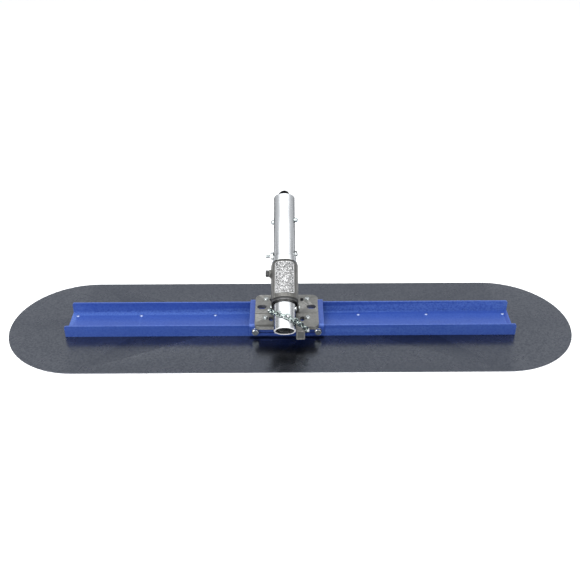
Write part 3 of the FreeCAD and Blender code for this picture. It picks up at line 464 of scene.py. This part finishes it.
def threaded_rod(radius, start, end, pitch, depth, segments=28, per_turn=8):
    """A rod along z with a helical thread and a tapered far end."""
    count = max(2, int(abs(end - start) / pitch * per_turn))
    points, faces = [], []
    for row in range(count + 1):
        height = start + (end - start) * row / count
        taper = min(1.0, abs(end - height) / pitch)
        for step in range(segments):
            wave = (height / pitch - step / segments) % 1.0
            cut = depth * abs(2 * wave - 1)
            reach = radius - cut - (1 - taper) * depth
            angle = 2 * math.pi * step / segments
            points.append(Vector((reach * math.cos(angle), reach * math.sin(angle), height)))
    outward = end > start
    for row in range(count):
        for step in range(segments):
            ahead = (step + 1) % segments
            quad = (row * segments + step, row * segments + ahead,
                    (row + 1) * segments + ahead, (row + 1) * segments + step)
            faces.append(quad if outward else quad[::-1])
    first = list(range(segments))
    final = [count * segments + step for step in range(segments)]
    faces.append(first[::-1] if outward else first)
    faces.append(final if outward else final[::-1])
    return points, faces


def joined(*parts):
    """Several (points, faces) pairs as one."""
    points, faces = [], []
    for some_points, some_faces in parts:
        offset = len(points)
        points += some_points
        faces += [tuple(index + offset for index in face) for face in some_faces]
    return points, faces


def aimed(origin, corner_direction, outward):
    """A placement whose z is outward and whose x is the direction of a hexagon's corner."""
    return matrix_from(origin, corner_direction, outward.cross(corner_direction), outward)


# ---------------------------------------------------------------- carried-over CAD nodes

LEAST_SOFTNESS_MM = 0.05
# How far each node's edges are rounded
KEPT_SOFTNESS_MM = {
    "blade": 0.35, "channel": 0.9, "channel_rivets": 0.15, "adapter_saddle": 0.6, "saddle_washers": 0.25,
    "base_plate": 0.7, "base_washers": 0.2, "chain_anchor_washer": 0.2, "hinge_pin": 0.3, "hinge_pin_clip": 0.15,
    "return_spring": 0.0, "socket_casting": 0.7, "lower_bushing": 0.3, "upper_bushing": 0.3,
    "left_button": 0.0, "right_button": 0.0,
}


def dress_cad_nodes():
    """Better materials and softened edges on the CAD nodes that stay."""
    for name, softness in KEPT_SOFTNESS_MM.items():
        node = frame["nodes"][name]
        node.data.materials.clear()
        node.data.materials.append(MATERIALS[RECORD_SLOTS[name]])
        if "custom_normal" in node.data.attributes:
            node.data.attributes.remove(node.data.attributes["custom_normal"])
        node.data.polygons.foreach_set("use_smooth", [True] * len(node.data.polygons))
        soften(node, max(softness, LEAST_SOFTNESS_MM) * MM)


# ---------------------------------------------------------------- tube and its rings

TUBE_LENGTH_MM = 283.2
TUBE_RADIUS_MM = 21.0
TUBE_BORE_MM = 17.8
SPIGOT_RADIUS_MM = 20.7
SPIGOT_START_MM = 238.0
SPIGOT_LEAD_MM = 1.0
TUBE_TOP_ROUND_MM = 1.5
TUBE_ROWS_MM = (20.0, 60.0, 150.0)
COLLAR_RADIUS_MM = 22.8
SOCKET_RADIUS_MM = 26.2
COLLAR_END_MM = 151.0
# Rings on the tube: low end, high end and radius
WASHER_MM = (138.6, 140.0, 24.4)
RING_MM = (52.6, 55.5, 23.6)
MOUTH_WASHER_MM = (55.6, 57.9, 24.8)
RING_BORE_MM = 20.3


def in_metres(profile):
    """A profile in millimetres, as metres."""
    return [(radius * MM, height * MM) for radius, height in profile]


def rounded_end(radius, bore, end, size, steps=5):
    """Profile points over a tube's top end, from the outside to the bore."""
    points = []
    for step in range(steps + 1):
        angle = math.pi / 2 * step / steps
        points.append((radius - size * (1 - math.cos(angle)), end - size * (1 - math.sin(angle))))
    points.append((bore + 0.4, end))
    points.append((bore, end - 0.4))
    return points


def make_tube():
    """Drawn tube with a turned spigot and a rounded top end."""
    profile = [(TUBE_BORE_MM, 0.5), (TUBE_BORE_MM + 0.5, 0.0), (TUBE_RADIUS_MM - 0.6, 0.0), (TUBE_RADIUS_MM, 0.6)]
    profile += [(TUBE_RADIUS_MM, height) for height in TUBE_ROWS_MM]
    profile += [(TUBE_RADIUS_MM, SPIGOT_START_MM - SPIGOT_LEAD_MM), (SPIGOT_RADIUS_MM, SPIGOT_START_MM)]
    profile += rounded_end(SPIGOT_RADIUS_MM, TUBE_BORE_MM, TUBE_LENGTH_MM, TUBE_TOP_ROUND_MM)
    points, faces = lathe(in_metres(profile), 128)
    piece = new_piece("handle_tube_skin", placed(points, TUBE), faces, "handle_tube")
    mark_sharp(piece, 40.0)


def mark_sharp(piece, angle):
    """Smooth shading except over sharper angles than this."""
    piece.data.set_sharp_from_angle(angle=math.radians(angle))


def make_ring(name, node, low, high, radius, bore, edge):
    """A plain ring on the tube."""
    profile = [(bore, low), (radius - edge, low), (radius, low + edge), (radius, high - edge),
               (radius - edge, high), (bore, high)]
    points, faces = lathe(in_metres(profile), 128)
    mark_sharp(new_piece(name, placed(points, TUBE), faces, node), 40.0)


def make_tube_rings():
    """Stop collar, thrust washer, mouth washer and retaining ring."""
    make_ring("stop_collar_skin", "stop_collar", WASHER_MM[1], COLLAR_END_MM, COLLAR_RADIUS_MM,
              bore=TUBE_RADIUS_MM, edge=0.8)
    make_ring("thrust_washer_skin", "thrust_washer", *WASHER_MM, bore=TUBE_RADIUS_MM, edge=0.2)
    make_ring("retaining_ring_skin", "retaining_ring", *RING_MM, bore=RING_BORE_MM, edge=0.4)
    make_ring("mouth_washer_skin", "mouth_washer", *MOUTH_WASHER_MM, bore=TUBE_RADIUS_MM, edge=0.4)


# ---------------------------------------------------------------- spring clip

CLIP_WIDTH_MM = 10.0
CLIP_THICKNESS_MM = 1.0
CLIP_BEND_MM = 11.7
CLIP_TOP_MM = 297.4
CLIP_TAIL_MM = 220.0
CLIP_SHOULDER_MM = 239.0
CLIP_LEG_X_MM = 15.6


def clip_path(inset, leg_steps=12, bend_steps=16):
    """One half of the clip's outline as (across, along), from the tail to the crown, set in by inset."""
    bend_start = CLIP_TOP_MM - CLIP_BEND_MM
    radius = CLIP_BEND_MM - inset
    foot = CLIP_LEG_X_MM - inset
    path = [(foot, CLIP_TAIL_MM)]
    for step in range(leg_steps):
        share = step / leg_steps
        path.append((foot + (radius - foot) * share, CLIP_SHOULDER_MM + (bend_start - CLIP_SHOULDER_MM) * share))
    for step in range(bend_steps + 1):
        angle = math.pi / 2 * step / bend_steps
        path.append((radius * math.cos(angle), bend_start + radius * math.sin(angle)))
    return path


def make_clip_half(name, side):
    """Half of the hairpin, baked in place; it rides on no body."""
    half = CLIP_WIDTH_MM / 2
    points, faces = [], []
    for (outer_x, outer_z), (inner_x, inner_z) in zip(clip_path(0.0), clip_path(CLIP_THICKNESS_MM)):
        points += [Vector((side * outer_x, -half, outer_z)), Vector((side * outer_x, half, outer_z)),
                   Vector((side * inner_x, half, inner_z)), Vector((side * inner_x, -half, inner_z))]
    for row in range(0, len(points) - 4, 4):
        for corner in range(4):
            ahead = (corner + 1) % 4
            faces.append((row + corner, row + ahead, row + 4 + ahead, row + 4 + corner))
    last = len(points) - 4
    faces += [(3, 2, 1, 0), (last, last + 1, last + 2, last + 3)]
    if side < 0:
        faces = [face[::-1] for face in faces]
    shape = placed([point * MM for point in points], TURNED_TUBE)
    piece = new_piece(name, shape, faces, "spring_clip", rides=False)
    mark_sharp(piece, 40.0)
    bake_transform(piece)


def make_spring_clip():
    """Hairpin spring that pushes both buttons out."""
    make_clip_half("spring_clip_left", -1)
    make_clip_half("spring_clip_right", 1)


# ---------------------------------------------------------------- label plate

LABEL_START_MM = 68.5
LABEL_END_MM = 132.5
LABEL_HALF_ANGLE = math.radians(42.0)
LABEL_THICKNESS_MM = 1.1
LABEL_BORDER_MM = 0.25
LABEL_CORNER_MM = 3.0
LABEL_EDGE_DROP_MM = 0.25
LABEL_SINK_MM = 0.02
FIELD_DEPTH_MM = 0.55
FIELD_SLOPE_MM = 0.5
PEBBLE_MM = 2.4


def label_relief(across, along, width, length):
    """Height of the label's face below its rim, in millimetres: a rim round a pebbled field."""
    inset = min(across, width - across, along, length - along)
    if inset < LABEL_BORDER_MM:
        return 0.0
    cell = noise.voronoi(Vector((across / PEBBLE_MM, along / PEBBLE_MM, 3.7)))[0]
    pebble = max(0.0, min(1.0, (cell[1] - cell[0]) * 2.6 - 0.25))
    swell = 0.5 + 0.5 * noise.noise(Vector((across * 0.35, along * 0.35, 9.1)))
    edge = min(1.0, (inset - LABEL_BORDER_MM) / FIELD_SLOPE_MM)
    return -FIELD_DEPTH_MM * edge * (1 - pebble * (0.55 + 0.45 * swell))


def make_label():
    """Curved plate with a rim and a pebbled field, and no markings."""
    columns, rows = 150, 210
    inner = SOCKET_RADIUS_MM
    outer = SOCKET_RADIUS_MM + LABEL_THICKNESS_MM
    width = 2 * LABEL_HALF_ANGLE * outer
    length = LABEL_END_MM - LABEL_START_MM
    corner = LABEL_CORNER_MM
    points, faces = [], []
    top = {}
    for row in range(rows + 1):
        along = length * row / rows
        from_end = min(along, length - along)
        pull = corner - math.sqrt(max(0.0, corner ** 2 - max(0.0, corner - from_end) ** 2))
        for column in range(columns + 1):
            across = pull + (width - 2 * pull) * column / columns
            angle = across / outer - LABEL_HALF_ANGLE
            edge = min(column, columns - column, row, rows - row)
            drop = LABEL_EDGE_DROP_MM if edge == 0 else 0.0
            radius = outer + label_relief(across, along, width, length) - drop
            top[row, column] = len(points)
            points.append(Vector((radius * math.sin(angle), -radius * math.cos(angle), LABEL_START_MM + along)))
    for row in range(rows):
        for column in range(columns):
            faces.append((top[row, column], top[row, column + 1], top[row + 1, column + 1], top[row + 1, column]))
    rim = [(0, c) for c in range(columns)] + [(r, columns) for r in range(rows)]
    rim += [(rows, c) for c in range(columns, 0, -1)] + [(r, 0) for r in range(rows, 0, -1)]
    below = {}
    for key in rim:
        x, y, z = points[top[key]]
        shrink = (inner - LABEL_SINK_MM) / math.hypot(x, y)
        below[key] = len(points)
        points.append(Vector((x * shrink, y * shrink, z)))
    for first, second in zip(rim, rim[1:] + rim[:1]):
        faces.append((top[first], below[first], below[second], top[second]))
    back = [below[key] for key in rim]
    left = [below[(row, 0)] for row in range(1, rows)]
    right = [below[(row, columns)] for row in range(1, rows)]
    end_rows = [[below[(0, c)] for c in range(columns + 1)], [below[(rows, c)] for c in range(columns + 1)]]
    faces += back_faces(points, end_rows, list(zip(left, right)), columns)
    piece = new_piece("label_plate_skin", placed([p * MM for p in points], TUBE), faces, "label_plate")
    piece.data.materials.append(label_metal(outer * MM))
    mark_sharp(piece, 60.0)


def back_faces(points, end_rows, middle, columns):
    """Faces that close the label's back between its end rows; middle has each row's left and right points."""
    grid = [end_rows[0]]
    for left, right in middle:
        row = [left]
        a, b = points[left], points[right]
        radius = math.hypot(a.x, a.y)
        start, end = math.atan2(a.x, -a.y), math.atan2(b.x, -b.y)
        for column in range(1, columns):
            angle = start + (end - start) * column / columns
            row.append(len(points))
            points.append(Vector((radius * math.sin(angle), -radius * math.cos(angle), a.z)))
        row.append(right)
        grid.append(row)
    grid.append(end_rows[1])
    faces = []
    for low, high in zip(grid, grid[1:]):
        for column in range(columns):
            faces.append((low[column + 1], low[column], high[column], high[column + 1]))
    return faces


# ---------------------------------------------------------------- fasteners

CENTRE_MM = 0.1  # radius of a turned profile where it meets its axis
SADDLE_BOLT_FLATS_MM = 12.0
ANCHOR_HEAD_MM = 3.4


def bolt_group(name, node, seats, flats, head, shank, length, plain, pitch):
    """Hexagon bolts: each seat is (point under the head, corner direction, outward direction)."""
    parts = []
    for origin, corner, outward in seats:
        place = aimed(origin, corner, outward)
        points, faces = hex_solid(flats * MM, head * MM)
        parts.append((placed(points, place), faces))
        profile = [(CENTRE_MM, 0.0), (shank, 0.0), (shank, -plain), (CENTRE_MM, -plain)]
        points, faces = lathe(in_metres(profile), 28)
        parts.append((placed(points, place), faces))
        points, faces = threaded_rod(shank * MM, -plain * MM, -length * MM, pitch * MM, shank * MM * 0.13)
        parts.append((placed(points, place), faces))
    points, faces = joined(*parts)
    mark_sharp(new_piece(name, points, faces, node), 28.0)


def nut_group(name, node, seats, flats, height, bore):
    """Hexagon nuts, each standing on its seat."""
    parts = []
    for origin, corner, outward in seats:
        points, faces = hex_solid(flats * MM, height * MM, bore * MM, both=True)
        parts.append((placed(points, aimed(origin, corner, outward)), faces))
    points, faces = joined(*parts)
    mark_sharp(new_piece(name, points, faces, node), 28.0)


def make_saddle_fasteners():
    """Four bolts through the saddle's legs, with nuts inside the channel."""
    low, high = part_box("saddle_bolts")
    centre = (low + high) / 2
    corner = SADDLE_BOLT_FLATS_MM / math.sqrt(3) * MM
    reach_x = (high.x - low.x) / 2 - corner
    washer_low, washer_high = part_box("saddle_washers")
    nut_low, nut_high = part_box("saddle_nuts")
    x_axis = Vector((1, 0, 0))
    bolts, nuts = [], []
    for side in (-1, 1):
        x = centre.x + side * reach_x
        for face, nut_face, outward in ((washer_low.y, nut_low.y, -1), (washer_high.y, nut_high.y, 1)):
            bolts.append((Vector((x, face, centre.z)), x_axis, Vector((0, outward, 0))))
            nuts.append((Vector((x, nut_face, centre.z)), x_axis, Vector((0, -outward, 0))))
    bolt_group("saddle_bolts_skin", "saddle_bolts", bolts, flats=SADDLE_BOLT_FLATS_MM, head=5.3, shank=4.0,
               length=17.6, plain=6.0, pitch=1.25)
    nut_group("saddle_nuts_skin", "saddle_nuts", nuts, flats=SADDLE_BOLT_FLATS_MM, height=6.5, bore=4.0)


def round_head(radius, height):
    """Profile of a low round head with a rounded rim, from its centre line at the top down to its seat."""
    rim = height * 0.6
    profile = [(0.01, height)]
    for step in range(6):
        angle = math.pi / 2 * (1 - step / 5)
        profile.append((radius - rim + rim * math.cos(angle), height - rim + rim * math.sin(angle)))
    return profile + [(radius, 0.0)]


def round_bolt(radius, height, shank, length, plain, pitch, recess=1.3):
    """A low round-headed bolt with a hollow in its head, its seat at z = 0 and its shank below."""
    profile = round_head(radius, height)
    profile[0:1] = [(0.01, height - 0.9), (recess, height - 0.9), (recess, height)]
    profile += [(shank, 0.0), (shank, -plain), (0.01, -plain)]
    turned = lathe(in_metres(profile[::-1]), 48)
    thread = threaded_rod(shank * MM, -plain * MM, -length * MM, pitch * MM, shank * MM * 0.1)
    return joined(turned, thread)


# Head radius, head height, shank radius and length
BASE_BOLT_MM = (4.5, 2.2, 2.6, 14.3)


def make_base_bolts():
    """Four upright bolts that hold the base plate."""
    radius, height, shank, length = BASE_BOLT_MM
    low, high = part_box("base_bolts")
    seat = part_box("base_washers")[1].z
    parts = []
    for x in (low.x + radius * MM, high.x - radius * MM):
        for y in (low.y + radius * MM, high.y - radius * MM):
            points, faces = round_bolt(radius, height, shank, length, plain=8.0, pitch=0.8)
            parts.append((placed(points, Matrix.Translation((x, y, seat))), faces))
    points, faces = joined(*parts)
    mark_sharp(new_piece("base_bolts_skin", points, faces, "base_bolts"), 35.0)


def make_anchor_bolt():
    """Bolt that the chain hangs on."""
    low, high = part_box("chain_anchor_bolt")
    seat = Vector((high.x - ANCHOR_HEAD_MM * MM, (low.y + high.y) / 2, (low.z + high.z) / 2))
    seats = [(seat, Vector((0, 1, 0)), Vector((1, 0, 0)))]
    length = (seat.x - low.x) / MM
    bolt_group("chain_anchor_bolt_skin", "chain_anchor_bolt", seats, flats=7.4, head=ANCHOR_HEAD_MM, shank=2.3,
               length=length, plain=5.0, pitch=0.8)


CROSS_BOLT_MM = 158.0


def make_cross_bolt():
    """Bolt across the tube, its long threaded end on the left."""
    across = BUTTON_DIRECTION
    corner = TUBE_AXIS.cross(across)
    centre = TUBE_ORIGIN + TUBE_AXIS * CROSS_BOLT_MM * MM
    right = centre + across * TUBE_RADIUS_MM * MM
    left = centre - across * TUBE_RADIUS_MM * MM
    bolt_group("cross_bolt_skin", "cross_bolt", [(right, corner, across)], flats=9.5, head=4.2, shank=3.2,
               length=58.0, plain=38.0, pitch=1.0)
    nut_group("cross_bolt_nut_skin", "cross_bolt_nut", [(left, corner, -across)], flats=12.5, height=6.8, bore=3.2)


LOCK_S_MM = 118.0
LOCK_TIP_MM = 21.5
LOCK_TOOTH_MM = 0.45


def make_lock_screw():
    """Thumb screw with a knurled head."""
    segments, teeth = 96, 24
    seat, height, radius = 30.3, 6.4, 6.6
    rows = [(0.0, 0.88), (0.5, 1.0), (height - 0.8, 1.0), (height, 0.8)]
    points, faces = [], []
    for z, share in rows:
        for step in range(segments):
            angle = 2 * math.pi * step / segments
            tooth = LOCK_TOOTH_MM * abs(math.sin(angle * teeth / 2))
            reach = radius * share - (LOCK_TOOTH_MM - tooth)
            points.append(Vector((reach * math.cos(angle), reach * math.sin(angle), z)))
    for row in range(len(rows) - 1):
        for step in range(segments):
            ahead = (step + 1) % segments
            faces.append((row * segments + step, row * segments + ahead,
                          (row + 1) * segments + ahead, (row + 1) * segments + step))
    faces.append(list(reversed(range(segments))))
    faces.append([(len(rows) - 1) * segments + step for step in range(segments)])
    shank = threaded_rod(3.0, 0.0, -(seat - LOCK_TIP_MM), pitch=1.0, depth=0.4)
    points, faces = joined((points, faces), shank)
    place = aimed(Vector((-seat, 0, LOCK_S_MM)), Vector((0, 1, 0)), Vector((-1, 0, 0)))
    points = placed([p * MM for p in placed(points, place)], TUBE)
    mark_sharp(new_piece("lock_screw_skin", points, faces, "lock_screw"), 28.0)


CHAIN_BOLT_MM = 43.5
CHAIN_SEAT_MM = 28.6


def make_chain_bolt():
    """Bolt across the tube that holds the chain's last link under its nut."""
    across = BUTTON_DIRECTION
    place = aimed(TUBE_ORIGIN + (TUBE_AXIS * CHAIN_BOLT_MM + across * TUBE_RADIUS_MM) * MM, TUBE_AXIS, across)
    length = TUBE_RADIUS_MM + CHAIN_SEAT_MM + 4.0
    points, faces = round_bolt(4.2, 2.6, 2.3, length, plain=length - 8.0, pitch=0.8, recess=1.5)
    mark_sharp(new_piece("chain_bolt_skin", placed(points, place), faces, "chain_bolt"), 35.0)
    left = TUBE_ORIGIN + (TUBE_AXIS * CHAIN_BOLT_MM - across * CHAIN_SEAT_MM) * MM
    corner = TUBE_AXIS.cross(across)
    nut_group("chain_bolt_nut_skin", "chain_bolt_nut", [(left, corner, -across)], flats=7.0, height=3.4, bore=2.3)


# ---------------------------------------------------------------- chain

LINK_WIRE_MM = 2.8
LINK_WIDTH_MM = 11.0
LINK_INNER_MM = 9.7
LINK_SLACK_MM = 0.15
WRAP_RADIUS_MM = 25.6
WRAP_RISE_MM = 1.4
WRAP_FROM_ANGLE = 64.0
WRAP_START_MM = 15.0
WRAP_SPAN = 166.5
WRAP_CLIMB_POWER = 1.5
WRAP_LINKS = 9
WRAP_SAMPLES = 2000
RUN_LINKS = 5
CHAIN_BOLT_RADIUS_MM = 2.3
ANCHOR_RADIUS_MM = 2.3
ANCHOR_X = 0.030
# Upper body, lower body and share of the upper one for each link of the run; only the number of rows is used here
RUN_FOLLOWS = (("handle", "socket", 0.75), ("handle", "socket", 0.35), ("socket", "float", 0.75),
               ("socket", "float", 0.35))


def link_mesh(around=40, section=14):
    """One welded link, its length along x and its width along y, with a swollen weld, in millimetres."""
    bend = (LINK_WIDTH_MM - LINK_WIRE_MM) / 2
    half = (LINK_INNER_MM - LINK_WIDTH_MM + 2 * LINK_WIRE_MM) / 2
    points, faces = [], []
    arc = math.pi * bend
    loop = 2 * arc + 4 * half
    for step in range(around):
        run = loop * step / around
        if run < 2 * half:
            centre, out = Vector((half - run, bend, 0)), Vector((0, 1, 0))
        elif run < 2 * half + arc:
            angle = math.pi / 2 + (run - 2 * half) / bend
            out = Vector((math.cos(angle), math.sin(angle), 0))
            centre = Vector((-half, 0, 0)) + out * bend
        elif run < 4 * half + arc:
            centre, out = Vector((-half + run - 2 * half - arc, -bend, 0)), Vector((0, -1, 0))
        else:
            angle = -math.pi / 2 + (run - 4 * half - arc) / bend
            out = Vector((math.cos(angle), math.sin(angle), 0))
            centre = Vector((half, 0, 0)) + out * bend
        weld = math.exp(-((run - half) / 0.9) ** 2)
        radius = LINK_WIRE_MM / 2 * (1 + 0.03 * weld)
        for turn in range(section):
            angle = 2 * math.pi * turn / section
            points.append(centre + (out * math.cos(angle) + Vector((0, 0, 1)) * math.sin(angle)) * radius)
    for step in range(around):
        ahead = (step + 1) % around
        for turn in range(section):
            following = (turn + 1) % section
            faces.append((step * section + turn, step * section + following,
                          ahead * section + following, ahead * section + turn))
    return points, faces


def link_place(centre, along, side, twist):
    """A link's placement: its width turned by twist degrees from the direction side, about along."""
    x = along.normalized()
    y = (side - x * side.dot(x)).normalized()
    y = Matrix.Rotation(math.radians(twist), 3, x) @ y
    return matrix_from(centre, x, y, x.cross(y))


def wrap_point(share):
    """A point of the chain over the tube, in the tube's frame, in millimetres; share is 1 at the chain bolt."""
    angle = math.radians(WRAP_FROM_ANGLE - WRAP_SPAN * share)
    radius = WRAP_RADIUS_MM + WRAP_RISE_MM * share
    climb = (CHAIN_BOLT_MM - WRAP_START_MM) * share ** WRAP_CLIMB_POWER
    return Vector((radius * math.sin(angle), -radius * math.cos(angle), WRAP_START_MM + climb))


def hook_mm(radius):
    """How far a link's centre is from the centre of the bolt it hangs on."""
    return LINK_INNER_MM / 2 - radius - LINK_SLACK_MM


def make_chain_wrap():
    """The links over the tube, which turn with it."""
    samples = [wrap_point(number / WRAP_SAMPLES) for number in range(WRAP_SAMPLES + 1)]
    length = sum((after - before).length for before, after in zip(samples, samples[1:]))
    pitch = (length - hook_mm(CHAIN_BOLT_RADIUS_MM)) / (WRAP_LINKS - 0.5)
    points, faces = link_mesh()
    travelled, made = 0.0, 0
    for before, point in zip(samples, samples[1:]):
        travelled += (point - before).length
        if made == WRAP_LINKS or travelled < (made + 0.5) * pitch - 1e-6:
            continue
        twist = 45.0 + 90.0 * made + 45.0 * made / (WRAP_LINKS - 1)
        place = link_place(point, point - before, Vector((point.x, point.y, 0)), twist)
        shape = placed([p * MM for p in placed(points, place)], TUBE)
        made += 1
        new_piece("chain_wrap_link_%d" % made, shape, faces, "chain_wrap")


def follow(link):
    """A stiff link, its placement baked into its points; it rides on no body.
    """
    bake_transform(link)


def make_chain_run():
    """Links from the tube down to the anchor bolt; the last one hangs square to the bolt."""
    low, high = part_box("chain_anchor_bolt")
    anchor = Vector((ANCHOR_X, (low.y + high.y) / 2, (low.z + high.z) / 2))
    first = wrap_point(0.0)
    start = TUBE @ (first * MM)
    outward = TUBE.to_3x3() @ Vector((first.x, first.y, 0))
    hang = start - anchor
    hang.x = 0.0
    hang.normalize()
    last = anchor + hang * hook_mm(ANCHOR_RADIUS_MM) * MM
    along = last + hang * (LINK_INNER_MM - LINK_SLACK_MM) / 2 * MM - start
    pitch = along.length / (RUN_LINKS - 1)
    along.normalize()
    x_axis = Vector((1, 0, 0))
    first_side = (outward - along * outward.dot(along)).normalized()
    final_side = (x_axis - along * x_axis.dot(along)).normalized()
    offset = math.degrees(math.atan2(first_side.cross(final_side).dot(along), first_side.dot(final_side)))
    points, faces = link_mesh()
    points = [p * MM for p in points]
    for number, (upper, lower, share) in enumerate(RUN_FOLLOWS):
        centre = start + along * pitch * (number + 0.5)
        twist = 45.0 + 90.0 * number + (offset + 45.0) * (number + 1) / (RUN_LINKS - 1)
        shape = placed(points, link_place(centre, along, outward, twist))
        link = new_piece("chain_run_link_%d" % (number + 1), shape, faces, "chain_run", rides=False)
        follow(link)
    shape = placed(points, link_place(last, hang, x_axis, 90.0))
    new_piece("chain_run_link_%d" % RUN_LINKS, shape, faces, "chain_run")


# ---------------------------------------------------------------- build

bpy.context.scene.view_settings.view_transform = "Standard"
make_camera()
make_studio()
dress_cad_nodes()
make_tube()
make_tube_rings()
make_spring_clip()
make_label()
make_saddle_fasteners()
make_base_bolts()
make_anchor_bolt()
make_cross_bolt()
make_lock_screw()
make_chain_bolt()
make_chain_wrap()
make_chain_run()
